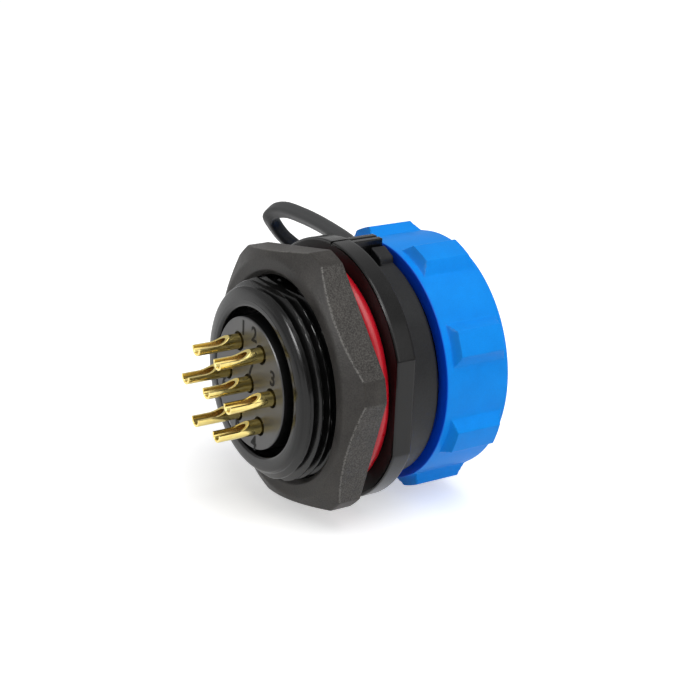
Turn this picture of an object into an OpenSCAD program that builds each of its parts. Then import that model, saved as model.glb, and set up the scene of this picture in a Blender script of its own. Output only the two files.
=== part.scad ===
// Panel-mount circular connector with a screw-on protective cap on a moulded lanyard.
// Millimetres. Y runs along the connector, from the solder cups (-Y) to the cap (+Y), and Z is up
// through the index rib. The origin is the centre of the flange's rear face, which seats on the panel.
// Threads are drawn as plain cylinders at their major diameter.

/* [Barrel] */
// Major diameter of the panel thread
thread_d = 21; // [19.5:0.5:22]
// Length of the barrel behind the flange
barrel_len = 8.8; // [8.2:0.1:12]
// Width across the two flats that stop the barrel turning in its panel hole
barrel_flats = 19.6; // [18.5:0.1:20.4]
// Length of the rounded lead-in at the barrel's end
lead_len = 0.5; // [0.3:0.05:1.8]
// Radial depth of the thread, which the lead-in clears
thread_depth = 0.7; // [0.3:0.05:0.8]
// Radial width of the lead-in's rounding
lead_round = 1.3; // [0.2:0.05:1.35]
// Diameter of the bore that holds the inserts
bore_d = 15.4; // [15:0.1:16.4]
// Chamfer around the bore's rear mouth
bore_edge = 0.25; // [0.1:0.05:0.5]

/* [Flange] */
// Diameter of the flange
flange_d = 27.5; // [26:0.25:32]
// Thickness of the flange
flange_t = 2.2; // [1.6:0.1:4]
// Width across the flange's two side flats
flange_flats = 25.6; // [24.6:0.1:26]
// Chamfer on the flange's edges
flange_edge = 0.25; // [0.1:0.05:0.5]
// Width of the index line cut across the flange's rim
index_w = 0.3; // [0.2:0.05:0.6]
// Depth of the index line
index_depth = 0.2; // [0.1:0.05:0.4]

/* [Neck and coupling] */
// Diameter of the neck that carries the lanyard's ring
neck_d = 20.6; // [20:0.1:21.2]
// Major diameter of the coupling thread that the cap screws onto
coupling_d = 22; // [21.4:0.1:22.6]
// Length of the coupling thread and its lead-in
coupling_len = 6; // [5.6:0.05:9]
// Diameter of the cavity that takes the mating plug
cavity_d = 18.4; // [17.6:0.1:18.8]
// Thickness of the inner shoulder that the inserts seat against
shoulder_t = 1.2; // [0.8:0.1:1.8]
// Radial width of the inner shoulder
shoulder_w = 1.1; // [0.8:0.1:1.4]
// Width of the polarising key in the plug cavity
key_w = 1.6; // [1:0.1:2.4]
// Height of the polarising key
key_h = 0.8; // [0.5:0.05:1]

/* [Index rib] */
// Width of each of the two index bars on the neck
bar_w = 0.75; // [0.5:0.05:1]
// Slot between the two index bars
bar_gap = 0.3; // [0.2:0.05:0.6]
// Height of the index bars above the lanyard's ring
bar_rise = 1.55; // [0.4:0.05:1.8]

/* [Inserts] */
// Diameter of the rear insert's boss
boss_d = 13.7; // [13:0.1:13.9]
// Chamfer around the boss's face
boss_edge = 0.1; // [0.05:0.05:0.4]
// How far the rear insert's face stands out of the barrel
boss_out = 0.45; // [0:0.05:1]
// Thickness of the rear insert's flange
rear_flange_t = 2.1; // [1.4:0.1:2.6]
// Thickness of the front insert behind the shoulder
front_insert_t = 3.4; // [3:0.1:3.8]
// How far the front insert stands into the plug cavity
front_boss_out = 0.8; // [0.4:0.1:2]
// Section diameter of the insert's O-ring
insert_ring_d = 0.9; // [0.7:0.05:1.1]
// Thickness of the snap ring that holds the inserts
retainer_t = 0.9; // [0.6:0.05:1.1]
// Radial width of the snap ring
retainer_w = 1.2; // [0.8:0.05:1.6]
// How far the snap ring reaches into its groove
retainer_bite = 0.45; // [0.3:0.05:0.7]
// Opening of the snap ring, in degrees
retainer_open = 30; // [15:1:60]

/* [Contacts] */
// Pitch circle of the six outer contacts
pitch_circle = 8.9; // [8.2:0.1:9.2]
// Outside diameter of a solder cup
cup_d = 1.6; // [1.4:0.05:1.8]
// Bore of a solder cup
cup_bore = 1.1; // [0.8:0.05:1.2]
// How far the solder cups stand out of the rear insert
cup_out = 4.9; // [4.6:0.1:7]
// Length of the open scoop of a solder cup
scoop_len = 3.75; // [2.5:0.05:4.2]
// Length over which a scoop's edge climbs to the closed part of the cup
climb_len = 1.9; // [0.8:0.05:2.4]
// Depth of a solder cup's bore
cup_depth = 6.2; // [5.6:0.1:7]
// Height of a scoop's floor line above the contact's axis
scoop_level = 0.12; // [0:0.01:0.2]
// Diameter of the mating pins
pin_d = 1.5; // [1.2:0.05:1.7]
// How far the mating pins stand into the plug cavity
pin_out = 3.2; // [2.4:0.1:3.6]
// Diameter of the collar trapped between the inserts
collar_d = 2.4; // [2.1:0.05:2.8]
// Length of that collar
collar_len = 1; // [0.8:0.05:1.2]

/* [Panel nut and seal] */
// Width across the nut's flats
nut_af = 26.3; // [25.5:0.1:30]
// Thickness of the nut
nut_t = 3.7; // [3:0.1:4.4]
// Diameter at which the nut's corners are turned down
nut_corner_d = 29.1; // [28.6:0.1:29.6]
// Diameter of the flat on the nut's bevelled face
nut_face_d = 24.8; // [24:0.1:25.2]
// Slope of the nut's bevel, in degrees
nut_bevel = 30; // [20:1:40]
// Chamfer of the nut's bore
nut_chamfer = 0.55; // [0.2:0.05:0.8]
// Angle of one corner of the nut, in degrees from +X
nut_turn = 12; // [0:0.5:59.5]
// Section diameter of the panel seal
seal_d = 1.7; // [1.2:0.1:2.2]
// Room left between the seal and the nut
nut_slack = 0.4; // [0:0.05:1]

/* [Cap] */
// Diameter of the cap's wall
cap_d = 25.6; // [24.8:0.1:26]
// Gap between the end of the neck and the cap's rear edge
cap_gap = 0.35; // [0.2:0.05:0.8]
// Thickness of the cap's front
cap_front_t = 1.3; // [1.1:0.1:2.5]
// Rounding of the cap's front edge
cap_round = 0.9; // [0.3:0.1:1]
// Depth of the chamfer in the cap's mouth
mouth_depth = 0.1; // [0.05:0.05:1.4]
// Width of the flat rim left around the cap's mouth
mouth_rim = 0.35; // [0.2:0.05:0.5]
// Number of grip lugs around the cap
lug_n = 8; // [6:1:10]
// Diameter over the grip lugs
lug_d = 27.9; // [26.8:0.1:29]
// Width of a lug across its top
lug_top_w = 2.5; // [1.4:0.1:3]
// Width of a lug at its root
lug_root_w = 4.2; // [3.4:0.1:5.2]
// Distance from the cap's rear edge to the lugs
lug_start = 0.85; // [0.6:0.05:2]
// Distance from the lugs' front end to the cap's front
lug_end = 0.75; // [0.5:0.05:2]
// Length of the slope at a lug's rear end
lug_rear = 0.45; // [0.15:0.05:0.8]
// Length of the slope at a lug's front end
lug_front = 0.6; // [0.3:0.05:1.4]
// Angle of one lug, in degrees from +X
lug_turn = 24; // [0:1:44]
// Thickness of the cap's flat seal
cap_seal_t = 0.9; // [0.6:0.05:1.2]
// Diameter of the spigot that carries the lanyard's eye
spigot_d = 6.4; // [5:0.1:8]
// Width of the lip that keeps the eye on the spigot
lip_w = 0.9; // [0.5:0.05:1.2]
// Thickness of that lip
lip_t = 0.9; // [0.6:0.1:1.4]

/* [Lanyard] */
// Outside diameter of the open ring on the neck
ring_d = 24.2; // [23.8:0.1:24.6]
// Width of the open ring
ring_w = 3.3; // [2.8:0.1:4.5]
// Opening of the ring around the index rib, in degrees
ring_open = 11; // [10:1:24]
// Height of the stop block above the ring
stop_rise = 0.95; // [0.4:0.05:1.3]
// Height of the gusset under the strap's root, above the ring
root_rise = 0.45; // [0.2:0.05:0.6]
// Width and height of the strap
strap_w = 1.5; // [1.2:0.1:1.6]
// Corner chamfer of the strap's section
strap_edge = 0.3; // [0.1:0.05:0.5]
// Radial width of the eye around the cap's spigot
eye_w = 1.8; // [1.2:0.1:2.4]
// Thickness of the eye
eye_t = 1.6; // [1.2:0.1:2]

/* [Hidden] */
$fn = 96;

// Clearances: seat between faces that press together, slip between pieces that slide past each other
seat = 0.03;
slip = 0.1;
thread_slip = 0.1;
coupling_slip = 0.15;
cup_slip = 0.22;
// Overlap of a cutter past the face that it opens
past = 1;

// Stations along Y, from the rear to the front
y_barrel_end = -barrel_len;
y_boss_face = y_barrel_end - boss_out;
y_nut_front = -seal_d - nut_slack - 2 * seat;
y_nut_rear = y_nut_front - nut_t;
y_ring_rear = flange_t + 2 * slip;
y_ring_front = y_ring_rear + ring_w;
y_coupling = y_ring_front + 2 * slip;
y_front = y_coupling + coupling_len;
y_shoulder = flange_t + 0.8;
y_cavity = y_shoulder + shoulder_t;
y_split = y_shoulder - front_insert_t;
y_rear_flange = y_split - rear_flange_t;
y_cap_rear = y_coupling + cap_gap;
y_cap_floor = y_front + seat + cap_seal_t;
y_cap_front = y_cap_floor + cap_front_t;
y_eye_rear = y_cap_front + 2 * slip;
y_eye_front = y_eye_rear + eye_t;
y_lip = y_eye_front + 2 * slip;

// Radii
thread_r = thread_d / 2;
bore_r = bore_d / 2;
neck_r = neck_d / 2;
coupling_r = coupling_d / 2;
cavity_r = cavity_d / 2;
opening_r = bore_r - shoulder_w;
ring_r = ring_d / 2;
ring_in_r = neck_r + slip;
insert_r = bore_r - slip;
groove_r = bore_r + retainer_bite + slip;
retainer_in_r = bore_r + retainer_bite - retainer_w;
cap_r = cap_d / 2;
cap_in_r = coupling_r + coupling_slip;
lug_r = lug_d / 2;
spigot_r = spigot_d / 2;
eye_in_r = spigot_r + 2 * slip;
eye_r = eye_in_r + eye_w;

// Contact places: six on the pitch circle, counted clockwise from the top left as seen from the rear
first_contact_angle = 120;
contact_step = 60;

// Turns a piece drawn along +Z so that it lies along +Y
module along_axis() rotate([-90, 0, 0]) children();

// Inside along_axis: turns about the axis by an angle counted from +X towards +Z
module turned(a) rotate([0, 0, -a]) children();

// Turns a profile of [radius, y] points about the connector's axis
module revolve(points) along_axis() rotate_extrude() polygon(points);

// A cylinder along the axis between two stations
module rod(r, y0, y1) along_axis() translate([0, 0, y0]) cylinder(r = r, h = y1 - y0);

// Points on an arc, for rounded corners of profiles
function arc(centre, r, from, to, steps = 6) =
    [for (i = [0:steps]) let (a = from + (to - from) * i / steps) centre + r * [cos(a), sin(a)]];

function polar(r, a) = [r * cos(a), r * sin(a)];

// Extrudes an outline drawn in X and Z between two stations along Y
module plate(outline, y0, y1)
    translate([0, y1, 0]) rotate([90, 0, 0]) linear_extrude(y1 - y0) polygon(outline);

// Place of a contact's axis: number 7 stands in the middle
function contact_place(i) =
    i == 7 ? [0, 0] : polar(pitch_circle / 2, first_contact_angle - contact_step * (i - 1));

module at_contact(i) translate([contact_place(i)[0], 0, contact_place(i)[1]]) children();

// Shell: threaded barrel, flange, neck and coupling collar, moulded in one

module barrel() {
    lead_r = thread_r - thread_depth;
    lead_y = y_barrel_end + lead_len;
    lead_in = [for (a = [-90:15:0]) [lead_r + lead_round * (cos(a) - 1), lead_y + lead_len * sin(a)]];
    difference() {
        revolve(concat(
            [[0, y_barrel_end]],
            lead_in,
            [[thread_r, lead_y + thread_depth], [thread_r, flange_edge], [0, flange_edge]]));
        for (side = [-1, 1])
            translate([0, -barrel_len / 2, side * (barrel_flats / 2 + thread_r)])
                cube([thread_d + past, barrel_len + 2 * past, 2 * thread_r], center = true);
    }
}

module flange() {
    r = flange_d / 2;
    difference() {
        intersection() {
            revolve([[0, 0], [r - flange_edge, 0], [r, flange_edge], [r, flange_t - flange_edge],
                     [r - flange_edge, flange_t], [0, flange_t]]);
            translate([0, flange_t / 2, 0])
                cube([flange_flats, flange_t + past, flange_d + past], center = true);
        }
        translate([0, flange_t / 2, r])
            cube([index_w, flange_t + past, 2 * index_depth], center = true);
    }
}

module neck_and_collar() {
    lead = coupling_r - cavity_r - seat;
    revolve([[0, flange_t - flange_edge], [neck_r, flange_t - flange_edge], [neck_r, y_coupling],
             [coupling_r, y_coupling], [coupling_r, y_front - lead / 2], [coupling_r - lead / 2, y_front],
             [0, y_front]]);
}

module index_bars() {
    top = ring_r + bar_rise;
    foot = neck_r - bar_w;
    y_bar = flange_t - flange_edge;
    for (side = [-1, 1])
        translate([side * (bar_gap + bar_w) / 2, (y_bar + y_ring_front) / 2, (top + foot) / 2])
            cube([bar_w, y_ring_front - y_bar, top - foot], center = true);
}

module shell_inside() {
    revolve([[0, y_barrel_end - past], [bore_r + bore_edge, y_barrel_end - past],
             [bore_r + bore_edge, y_barrel_end], [bore_r, y_barrel_end + bore_edge], [bore_r, y_shoulder],
             [opening_r, y_shoulder], [opening_r, y_cavity], [cavity_r, y_cavity],
             [cavity_r, y_front + past], [0, y_front + past]]);
    rod(groove_r, y_rear_flange - retainer_t - 2 * seat, y_rear_flange);
}

module receptacle_shell() {
    color([0.13, 0.13, 0.14]) {
        difference() {
            union() {
                barrel();
                flange();
                neck_and_collar();
                index_bars();
            }
            shell_inside();
        }
        // Polarising key in the plug cavity
        intersection() {
            translate([-key_w / 2, y_cavity - seat, cavity_r - key_h])
                cube([key_w, coupling_len * 0.8, key_h + seat]);
            rod(cavity_r + seat, y_cavity - past, y_front);
        }
    }
}

// Inserts: two discs that trap the contacts' collars between them

module front_insert() {
    groove_w = insert_ring_d + 3 * slip;
    groove_mid = (y_split + y_shoulder) / 2;
    color([0.12, 0.12, 0.12])
        difference() {
            union() {
                rod(insert_r, y_split, y_shoulder);
                rod(opening_r - slip, y_shoulder - seat, y_cavity + front_boss_out);
            }
            difference() {
                rod(insert_r + past, groove_mid - groove_w / 2, groove_mid + groove_w / 2);
                rod(insert_r - insert_ring_d, y_split, y_shoulder);
            }
            for (i = [1:7])
                at_contact(i) {
                    rod(pin_d / 2 + slip / 2, y_split - past, y_cavity + front_boss_out + past);
                    rod(collar_d / 2 + slip / 2, y_split - past, y_split + collar_len + seat);
                }
        }
}

module rear_insert() {
    // The boss is relieved where the snap ring sits around it
    waist_r = min(boss_d / 2, retainer_in_r - slip);
    y_waist = y_rear_flange - retainer_t - 2 * seat - slip;
    color([0.12, 0.12, 0.12])
        difference() {
            union() {
                revolve([[0, y_boss_face], [boss_d / 2 - boss_edge, y_boss_face],
                         [boss_d / 2, y_boss_face + boss_edge], [boss_d / 2, y_waist], [0, y_waist]]);
                rod(waist_r, y_boss_face + past, y_split - rear_flange_t / 2);
                rod(insert_r, y_rear_flange, y_split);
            }
            for (i = [1:7])
                at_contact(i) rod(cup_d / 2 + cup_slip, y_boss_face - past, y_split + past);
        }
}

module insert_seal() {
    color([0.6, 0.1, 0.1])
        along_axis()
            translate([0, 0, (y_split + y_shoulder) / 2])
                rotate_extrude()
                    translate([bore_r - seat - insert_ring_d / 2, 0]) circle(d = insert_ring_d);
}

module insert_retainer() {
    color([0.6, 0.6, 0.62])
        along_axis()
            turned(-90 - retainer_open / 2)
                translate([0, 0, y_rear_flange - seat - retainer_t])
                    rotate_extrude(angle = 360 - retainer_open)
                        translate([retainer_in_r, 0]) square([retainer_w, retainer_t]);
}

// Contacts: one turned pin each, with a collar in the middle and a scooped solder cup behind

module contact(i) {
    y_tip = y_boss_face - cup_out;
    y_scoop = y_tip + scoop_len;
    y_pin = y_cavity + front_boss_out + pin_out;
    pin_r = pin_d / 2;
    cup_r = cup_d / 2;
    color([0.83, 0.66, 0.27])
        at_contact(i)
            difference() {
                revolve(concat(
                    [[0, y_tip], [cup_r, y_tip], [cup_r, y_split], [collar_d / 2, y_split],
                     [collar_d / 2, y_split + collar_len], [pin_r, y_split + collar_len]],
                    arc([0, y_pin - pin_r], pin_r, 0, 80),
                    [[0, y_pin]]));
                rod(cup_bore / 2, y_tip - past, y_tip + cup_depth);
                // The scoop's edge runs level, then climbs as a parabola to the closed part of the cup
                rotate([90, 0, 90])
                    linear_extrude(cup_d + past, center = true)
                        polygon(concat(
                            [[y_tip - past, scoop_level]],
                            [for (k = [0:8]) [y_scoop - climb_len * (1 - k / 8),
                                              scoop_level + (cup_r + slip - scoop_level) * pow(k / 8, 2)]],
                            [[y_tip - past, cup_r + slip]]));
            }
}

// Panel clamp: round-section seal and bevelled hexagon nut

module panel_seal() {
    color([0.78, 0.08, 0.13])
        along_axis()
            translate([0, 0, -seat - seal_d / 2])
                rotate_extrude()
                    translate([thread_r + slip / 2 + seal_d / 2, 0]) circle(d = seal_d);
}

module hex_nut() {
    hole_r = thread_r + thread_slip;
    bevel_rise = (nut_corner_d - nut_face_d) / 2 * tan(nut_bevel);
    color([0.27, 0.26, 0.25])
        difference() {
            intersection() {
                along_axis()
                    turned(nut_turn)
                        translate([0, 0, y_nut_rear])
                            cylinder(d = nut_af / cos(30), h = nut_t, $fn = 6);
                revolve([[0, y_nut_rear], [nut_face_d / 2, y_nut_rear],
                         [nut_corner_d / 2, y_nut_rear + bevel_rise], [nut_corner_d / 2, y_nut_front],
                         [0, y_nut_front]]);
            }
            revolve([[0, y_nut_rear - seat], [hole_r + nut_chamfer + seat, y_nut_rear - seat],
                     [hole_r, y_nut_rear + nut_chamfer], [hole_r, y_nut_front - nut_chamfer],
                     [hole_r + nut_chamfer + seat, y_nut_front + seat], [0, y_nut_front + seat]]);
        }
}

// Cap: one moulding with grip lugs, a chamfered mouth and a lipped spigot for the lanyard's eye

module lugs() {
    foot = cap_r - (cap_r - cap_in_r) / 2;
    slope = (lug_root_w - lug_top_w) / 2 / (lug_r - cap_r);
    foot_half = lug_top_w / 2 + slope * (lug_r - foot);
    y0 = y_cap_rear + lug_start;
    y1 = y_cap_front - lug_end;
    intersection() {
        along_axis()
            for (k = [0:lug_n - 1])
                turned(lug_turn + 360 / lug_n * k)
                    translate([0, 0, y0])
                        linear_extrude(y1 - y0)
                            polygon([[foot, -foot_half], [lug_r + seat, -lug_top_w / 2],
                                     [lug_r + seat, lug_top_w / 2], [foot, foot_half]]);
        revolve([[foot, y0 - past], [cap_r, y0], [lug_r, y0 + lug_rear], [lug_r, y1 - lug_front],
                 [cap_r - seat, y1], [foot, y1 + past]]);
    }
}

module cap() {
    color([0.08, 0.45, 0.9])
        difference() {
            union() {
                revolve(concat(
                    [[0, y_cap_rear], [cap_r - mouth_rim / 2, y_cap_rear],
                     [cap_r, y_cap_rear + mouth_rim / 2]],
                    arc([cap_r - cap_round, y_cap_front - cap_round], cap_round, 0, 90),
                    [[0, y_cap_front]]));
                lugs();
                rod(spigot_r, y_cap_front - past, y_lip + lip_t / 2);
                revolve([[0, y_lip], [spigot_r + lip_w, y_lip], [spigot_r + lip_w, y_lip + lip_t / 2],
                         [spigot_r + lip_w / 2, y_lip + lip_t], [0, y_lip + lip_t]]);
            }
            revolve([[0, y_cap_rear - past], [cap_r - mouth_rim, y_cap_rear - past],
                     [cap_r - mouth_rim, y_cap_rear], [cap_in_r, y_cap_rear + mouth_depth],
                     [cap_in_r, y_cap_floor], [0, y_cap_floor]]);
        }
}

module cap_seal() {
    color([0.2, 0.2, 0.2])
        difference() {
            rod(coupling_r, y_cap_floor - cap_seal_t, y_cap_floor);
            rod(cavity_r - slip, y_cap_floor - cap_seal_t - past, y_cap_floor + past);
        }
}

// Lanyard: open ring on the neck, moulded strap and eye on the cap's spigot, all one piece

// Strap route: a loop counted from its root on the ring, then the run counted back from the eye
strap_root = [-1.3, (y_ring_rear + y_ring_front) / 2, ring_r - slip];
loop_offsets = [[0, 0, 0], [-2.1, -0.05, 0.45], [-5.5, -0.1, 0.75], [-8.0, -0.2, 0.9], [-10.3, -0.35, 0.95],
                [-13.0, -0.65, 0.9], [-15.0, -0.9, 0.35], [-16.2, -0.9, -0.6], [-16.5, -0.2, -1.7],
                [-16.1, 0.6, -2.9], [-15.6, 1.6, -3.9], [-15.2, 3.4, -5.3]];
strap_eye = [-(eye_in_r + eye_w / 2), (y_eye_rear + y_eye_front) / 2, 0];
eye_offsets = [[-12.0, -6.2, 5.4], [-11.5, -3.8, 4.1], [-10.2, -1.4, 2.9], [-7.6, 0.0, 1.8],
               [-4.4, 0.1, 0.8], [-2.0, 0.0, 0.2], [0, 0, 0]];
strap_points = concat([for (o = loop_offsets) strap_root + o], [for (o = eye_offsets) strap_eye + o]);
strap_steps = 3;
// Keeps the strap's section from twisting: square to the plane of the loop
strap_up = [0, 0.78, 0.62];

function unit(v) = v / norm(v);
function clamp_index(i, n) = max(0, min(n - 1, i));
function spline(p, i, t) =
    let (n = len(p), a = p[clamp_index(i - 1, n)], b = p[i], c = p[clamp_index(i + 1, n)],
         d = p[clamp_index(i + 2, n)])
    0.5 * (2 * b + (c - a) * t + (2 * a - 5 * b + 4 * c - d) * t * t + (3 * b - a - 3 * c + d) * t * t * t);

strap_path = concat(
    [for (i = [0:len(strap_points) - 2], k = [0:strap_steps - 1]) spline(strap_points, i, k / strap_steps)],
    [strap_points[len(strap_points) - 1]]);

// A square with its corners cut
strap_section = let (h = strap_w / 2, c = strap_w / 2 - strap_edge)
    [[h, -c], [h, c], [c, h], [-c, h], [-h, c], [-h, -c], [-c, -h], [c, -h]];

module swept_strap(path, section) {
    n = len(path);
    m = len(section);
    points = [for (i = [0:n - 1])
        let (t = unit(path[clamp_index(i + 1, n)] - path[clamp_index(i - 1, n)]),
             side = unit(cross(strap_up, t)), up = cross(t, side))
        for (q = section) path[i] + q[0] * side + q[1] * up];
    sides = [for (i = [0:n - 2], j = [0:m - 1])
        let (a = i * m + j, b = i * m + (j + 1) % m)
        [a, a + m, b + m, b]];
    ends = [[for (j = [0:m - 1]) j], [for (j = [m - 1:-1:0]) (n - 1) * m + j]];
    polyhedron(points = points, faces = concat(sides, ends));
}

module open_ring() {
    start = 90 - ring_open / 2;
    edge = strap_edge;
    notch = ring_w / 2;
    foot_r = (ring_in_r + ring_r) / 2;
    difference() {
        along_axis()
            turned(start)
                rotate_extrude(angle = 360 - ring_open)
                    polygon([[ring_in_r, y_ring_rear], [ring_r - edge, y_ring_rear],
                             [ring_r, y_ring_rear + edge], [ring_r, y_ring_front - edge],
                             [ring_r - edge, y_ring_front], [ring_in_r, y_ring_front]]);
        // The near end is cut back behind its stop block
        plate([polar(ring_in_r - past, start + past), polar(ring_r + past, start + past),
               polar(ring_r + past, start - 11), polar(ring_in_r - past, start - 11)],
              y_ring_rear - past, y_ring_rear + notch);
    }
    // Stop block beside the index rib, sloping down from it
    plate([polar(ring_in_r + slip, start), polar(ring_r + stop_rise, start),
           polar(ring_r + 0.55 * stop_rise, start - 8), polar(foot_r, start - 11),
           polar(ring_in_r + slip, start - 11)],
          y_ring_rear + notch, y_ring_front);
    // Gusset under the strap's root on the far side of the rib, narrower than the strap
    far = 90 + ring_open / 2;
    gusset_half = strap_w / 2 - strap_edge;
    plate([polar(ring_in_r + slip, far), polar(ring_r + root_rise, far),
           polar(ring_r + root_rise, far + 5), polar(foot_r, far + 16),
           polar(ring_in_r + slip, far + 16)],
          strap_root[1] - gusset_half, strap_root[1] + gusset_half);
}

module lanyard() {
    color([0.16, 0.16, 0.17]) {
        open_ring();
        swept_strap(strap_path, strap_section);
        difference() {
            rod(eye_r, y_eye_rear, y_eye_front);
            rod(eye_in_r, y_eye_rear - past, y_eye_front + past);
        }
    }
}

receptacle_shell();
front_insert();
rear_insert();
insert_seal();
insert_retainer();
for (i = [1:7]) contact(i);
panel_seal();
hex_nut();
cap();
cap_seal();
lanyard();
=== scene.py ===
"""Looks of a panel-mount circular connector: threaded receptacle, nut, seal, solder-cup contacts, and a
screw cap on a moulded lanyard. Sizes are in millimetres until a mesh is made. Y runs from the solder cups
to the cap, Z is up through the index bars, and angles are counted from +X towards +Z."""

import math

import bpy
import numpy as np
from mathutils import Matrix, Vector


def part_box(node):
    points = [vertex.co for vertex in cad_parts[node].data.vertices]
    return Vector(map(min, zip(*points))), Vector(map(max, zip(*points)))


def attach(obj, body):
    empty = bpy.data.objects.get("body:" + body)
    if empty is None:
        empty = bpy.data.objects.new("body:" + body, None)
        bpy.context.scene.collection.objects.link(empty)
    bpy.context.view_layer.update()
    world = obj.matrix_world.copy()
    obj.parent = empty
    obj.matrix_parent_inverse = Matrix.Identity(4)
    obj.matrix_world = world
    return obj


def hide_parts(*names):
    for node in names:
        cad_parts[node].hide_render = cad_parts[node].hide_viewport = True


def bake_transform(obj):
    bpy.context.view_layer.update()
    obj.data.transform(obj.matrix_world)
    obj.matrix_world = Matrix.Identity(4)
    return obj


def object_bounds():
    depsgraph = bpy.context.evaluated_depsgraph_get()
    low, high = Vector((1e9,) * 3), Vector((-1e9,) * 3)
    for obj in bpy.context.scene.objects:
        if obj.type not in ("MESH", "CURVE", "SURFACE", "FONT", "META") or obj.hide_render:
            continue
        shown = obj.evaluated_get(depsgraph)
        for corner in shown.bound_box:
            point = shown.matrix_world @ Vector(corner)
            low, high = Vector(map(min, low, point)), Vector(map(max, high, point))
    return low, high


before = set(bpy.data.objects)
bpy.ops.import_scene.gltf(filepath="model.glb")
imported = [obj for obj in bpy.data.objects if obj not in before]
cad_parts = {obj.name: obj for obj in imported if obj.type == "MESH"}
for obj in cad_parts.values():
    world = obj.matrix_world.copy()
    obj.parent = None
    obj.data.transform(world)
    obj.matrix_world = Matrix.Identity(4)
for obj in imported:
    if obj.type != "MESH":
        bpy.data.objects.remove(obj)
cad_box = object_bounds()

MM = 0.001


def reach(node):
    """Lowest and highest corner of a node's solid, in millimetres."""
    low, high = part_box(node)
    return np.array(low) / MM, np.array(high) / MM


def link(name, data):
    """A new object in the scene."""
    thing = bpy.data.objects.new(name, data)
    bpy.context.scene.collection.objects.link(thing)
    return thing


# Barrel, flange, neck and coupling collar
shell_low, shell_high = reach("receptacle_shell")
BARREL_END, FRONT = shell_low[1], shell_high[1]
THREAD_R, THREAD_DEPTH, THREAD_PITCH, THREAD_START = 10.5, 0.7, 1.0, 0.41
# Shares of half a pitch: half the crest's width, and a flank's run from crest to root
CREST_SHARE, FLANK_SHARE = 0.12, 0.6
LEAD_FOOT_R, LEAD_WIDE, LEAD_LONG, LEAD_SLOPE, BARREL_FLAT = 8.5, 1.35, 0.5, 0.55, 9.8
# Run-out of the panel thread: its length, how far it leans round the barrel, and its least share of depth
RUN_OUT, FADE, SHALLOW = 0.5, 0.25, 0.55
BORE_R, BORE_EDGE, OPENING_R, CAVITY_R = 7.7, 0.25, 6.6, 9.2
GROOVE_R, GROOVE_REAR, GROOVE_FRONT = 8.25, -3.46, -2.5
FLANGE_R, FLANGE_FLAT, FLANGE_T, FLANGE_EDGE = -shell_low[2], shell_high[0], 2.2, 0.25
NOTCH_HALF, NOTCH_DEPTH = 0.15, 0.2
NECK_R, COUPLING_R, COUPLING_REAR = 10.3, 11.0, 5.9
COUPLING_PITCH, COUPLING_DEPTH = 1.5, 0.5
SHOULDER, CAVITY = 3.0, 4.2
BAR_IN, BAR_OUT, BAR_TOP, BAR_FOOT = 0.15, 0.9, 13.65, 9.8
KEY_HALF, KEY_HEIGHT = 0.8, 0.8
# Contacts
contact_low, contact_high = reach("contact_7")
CUP_TIP, PIN_TIP, COLLAR_R = contact_low[1], contact_high[1], contact_high[0]
PITCH_R, CUP_R, CUP_BORE_R, PIN_R = 4.45, 0.8, 0.55, 0.75
CLIMB_START, CLIMB_LENGTH, CUP_FLOOR = CUP_TIP + 1.85, 1.9, CUP_TIP + 6.2
SCOOP_LEVEL, SCOOP_TOP = 0.12, 0.9
SPLIT, COLLAR_FRONT = -0.4, 0.6
INSERT_FACE = reach("rear_insert")[0][1]
# Nut and seal
nut_low, nut_high = reach("hex_nut")
NUT_REAR, NUT_FRONT = nut_low[1], nut_high[1]
NUT_HALF_AF, NUT_CORNER_R, NUT_FACE_R, NUT_TURN, NUT_BEVEL = 13.15, 14.55, 12.4, 12.0, 30.0
NUT_HOLE_R, NUT_CHAMFER = 10.6, 0.55
# Painted highlight over the rows of the bevel's outer edge, from its first row on, and of the flat beyond
NUT_HIGHLIGHT_ROW, NUT_HIGHLIGHT = 14, np.array([0.0, 0.1, 0.3, 0.4, 0.3, 0.12, 0.12, 0.12, 0.12, 0.1])
seal_low, seal_high = reach("panel_seal")
SEAL_HALF, SEAL_Y = (seal_high[1] - seal_low[1]) / 2, (seal_high[1] + seal_low[1]) / 2
SEAL_R = seal_high[0] - SEAL_HALF
# Cap, from its rear edge to the lip of its spigot
cap_low, cap_high = reach("cap")
CAP_REAR, LIP_FRONT = cap_low[1], cap_high[1]
LIP_REAR = LIP_FRONT - 0.9
EYE_FRONT = LIP_REAR - 0.2
EYE_REAR = EYE_FRONT - 1.6
CAP_FRONT = EYE_REAR - 0.2
CAP_FLOOR = CAP_FRONT - 1.3
CAP_R, CAP_IN_R, MOUTH_DEPTH, MOUTH_RIM, CAP_ROUND = 12.8, 11.15, 0.1, 0.35, 0.9
LUG_TURN, LUG_R, LUG_TOP_HALF, LUG_ROOT_HALF = 24.0, 13.95, 1.25, 2.1
LUG_REAR, LUG_REAR_RAMP, LUG_FRONT, LUG_RAMP = CAP_REAR + 0.85, 0.45, CAP_FRONT - 0.75, 0.6
LUG_EDGE, LUG_CREASE = 0.1, 0.16
SPIGOT_R, LIP_R = 3.2, 4.1
# Lanyard
RING_IN_R, RING_R, RING_REAR, RING_FRONT = 10.4, 12.1, 2.4, 5.7
RING_MID = (RING_REAR + RING_FRONT) / 2
NEAR_END, FAR_END, NOTCH_TURN, NOTCH_REAR = 84.5, 95.5, 11.0, RING_REAR + 1.65
STOP_R, STOP_LOW_R, GUSSET_R, FOOT_R = 13.05, 12.6225, 12.55, 11.25
STRAP_HALF, STRAP_EDGE = 0.75, 0.45
EYE_IN_R, EYE_R = 3.4, 5.2
STRAP_ROOT = np.array([-1.3, RING_MID, RING_R - 0.1])
STRAP_EYE = np.array([-(EYE_IN_R + EYE_R) / 2, (EYE_REAR + EYE_FRONT) / 2, 0.0])
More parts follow.
